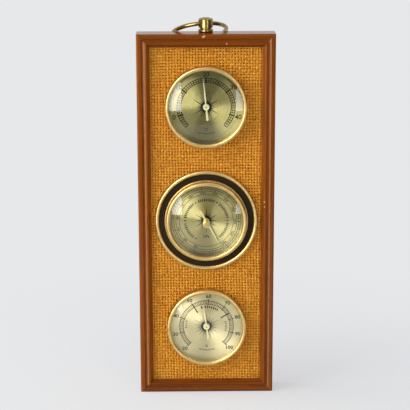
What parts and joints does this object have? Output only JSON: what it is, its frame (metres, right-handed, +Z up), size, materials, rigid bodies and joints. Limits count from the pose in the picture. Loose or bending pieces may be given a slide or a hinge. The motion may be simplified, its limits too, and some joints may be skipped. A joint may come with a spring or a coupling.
{
  "type": "weather station",
  "caption": "Framed jute panel with a thermometer, an aneroid barometer with a set hand and a hygrometer, with a brass hanging ring on top.",
  "frame": {"origin": "middle of the flat underside of the frame, halfway through its depth", "axes": "+X to the viewer's right, +Y from the front to the back, +Z up the frame"},
  "size_m": [0.14, 0.0878, 0.396],
  "materials": {
    "stained_wood": "brown stain under satin lacquer",
    "hardboard": "smooth pressed face",
    "jute": "coarse plain weave",
    "steel": "bright",
    "plated_steel": "dull zinc plate",
    "polished_brass": "polished and lacquered",
    "movement_brass": "plain",
    "gilt_hand": "gilt",
    "gilt_dial": "circular brushed, champagne gilt",
    "gilt_spacer": "satin gilt",
    "black_enamel": "satin black",
    "clear_glass": "polished",
    "bimetal": "bright strip",
    "humidity_strip": "matt"
  },
  "bodies": {
    "station": {"aneroid_capsule": "movement_brass", "back_board": "hardboard", "barometer_band": "black_enamel", "barometer_bezel": "polished_brass", "barometer_brackets": "plated_steel", "barometer_bush": "movement_brass", "barometer_case": "plated_steel", "barometer_dial": "gilt_dial", "barometer_glass": "clear_glass", "barometer_rim": "polished_brass", "barometer_spacer": "gilt_spacer", "bottom_rail": "stained_wood", "bracket_screws": "steel", "chain": "steel", "corner_nails": "steel", "hairspring": "steel", "hand_bridge": "movement_brass", "hanger_post": "polished_brass", "hanger_stud": "steel", "hygrometer_anchor": "movement_brass", "hygrometer_bezel": "polished_brass", "hygrometer_brackets": "plated_steel", "hygrometer_bushes": "movement_brass", "hygrometer_case": "plated_steel", "hygrometer_coil": "humidity_strip", "hygrometer_dial": "gilt_dial", "hygrometer_glass": "clear_glass", "hygrometer_spacer": "gilt_spacer", "jute_cloth": "jute", "left_stile": "stained_wood", "main_spring": "steel", "movement_pillars": "movement_brass", "movement_plate": "movement_brass", "panel_brads": "steel", "right_stile": "stained_wood", "rocker_cradle": "movement_brass", "spring_block": "movement_brass", "thermometer_anchor": "movement_brass", "thermometer_bezel": "polished_brass", "thermometer_brackets": "plated_steel", "thermometer_bushes": "movement_brass", "thermometer_case": "plated_steel", "thermometer_coil": "bimetal", "thermometer_dial": "gilt_dial", "thermometer_glass": "clear_glass", "thermometer_spacer": "gilt_spacer", "top_rail": "stained_wood"},
    "ring": {"hanger_ring": "polished_brass"},
    "thermometer_pointer": {"thermometer_arbor": "movement_brass", "thermometer_hand": "gilt_hand"},
    "hygrometer_pointer": {"hygrometer_arbor": "movement_brass", "hygrometer_hand": "gilt_hand"},
    "barometer_pointer": {"hand_arbor": "steel", "barometer_hand": "gilt_hand"},
    "rocking_shaft": {"rocker": "steel"},
    "lever": {"main_lever": "movement_brass"},
    "set_pointer": {"set_hand": "gilt_hand", "set_knob": "polished_brass"},
    "adjuster": {"adjusting_screw": "steel"}
  },
  "joints": [
    {"name": "ring_swing", "type": "hinge", "parent": "station", "child": "ring", "pos_m": [0, 0.006, 0.39], "axis": [0.9703, 0.2419, 0], "range_deg": [0, 217]},
    {"name": "temperature", "type": "hinge", "parent": "station", "child": "thermometer_pointer", "pos_m": [0, -0.0117, 0.3072], "axis": [0, 1, 0], "range_deg": [-129.3, 140.7], "deforming": ["thermometer_coil"]},
    {"name": "humidity", "type": "hinge", "parent": "station", "child": "hygrometer_pointer", "pos_m": [0, -0.0117, 0.0728], "axis": [0, 1, 0], "range_deg": [-129.3, 142.7], "deforming": ["hygrometer_coil"]},
    {"name": "pressure", "type": "hinge", "parent": "station", "child": "barometer_pointer", "pos_m": [0, -0.0127, 0.1885], "axis": [0, 1, 0], "range_deg": [-306, 4], "deforming": ["hairspring", "chain", "main_spring", "aneroid_capsule"]},
    {"name": "rocking", "type": "hinge", "parent": "station", "child": "rocking_shaft", "pos_m": [0.024, -0.00381, 0.1885], "axis": [0, 0, 1], "range_deg": [-1, 42]},
    {"name": "lever_lift", "type": "hinge", "parent": "station", "child": "lever", "pos_m": [-0.0245, -0.0006, 0.1885], "axis": [0, 0, 1], "range_deg": [-3, 0.1]},
    {"name": "set_turn", "type": "hinge", "parent": "station", "child": "set_pointer", "pos_m": [0, -0.0196, 0.1885], "axis": [0, 1, 0], "continuous": true},
    {"name": "adjust_turn", "type": "hinge", "parent": "station", "child": "adjuster", "pos_m": [-0.023, 0.0065, 0.1885], "axis": [0, 1, 0], "range_deg": [-360, 360]}
  ],
  "couplings": [
    {"joint": "rocking", "follows": "pressure", "ratio": -0.134},
    {"joint": "lever_lift", "follows": "pressure", "ratio": 0.00942}
  ]
}
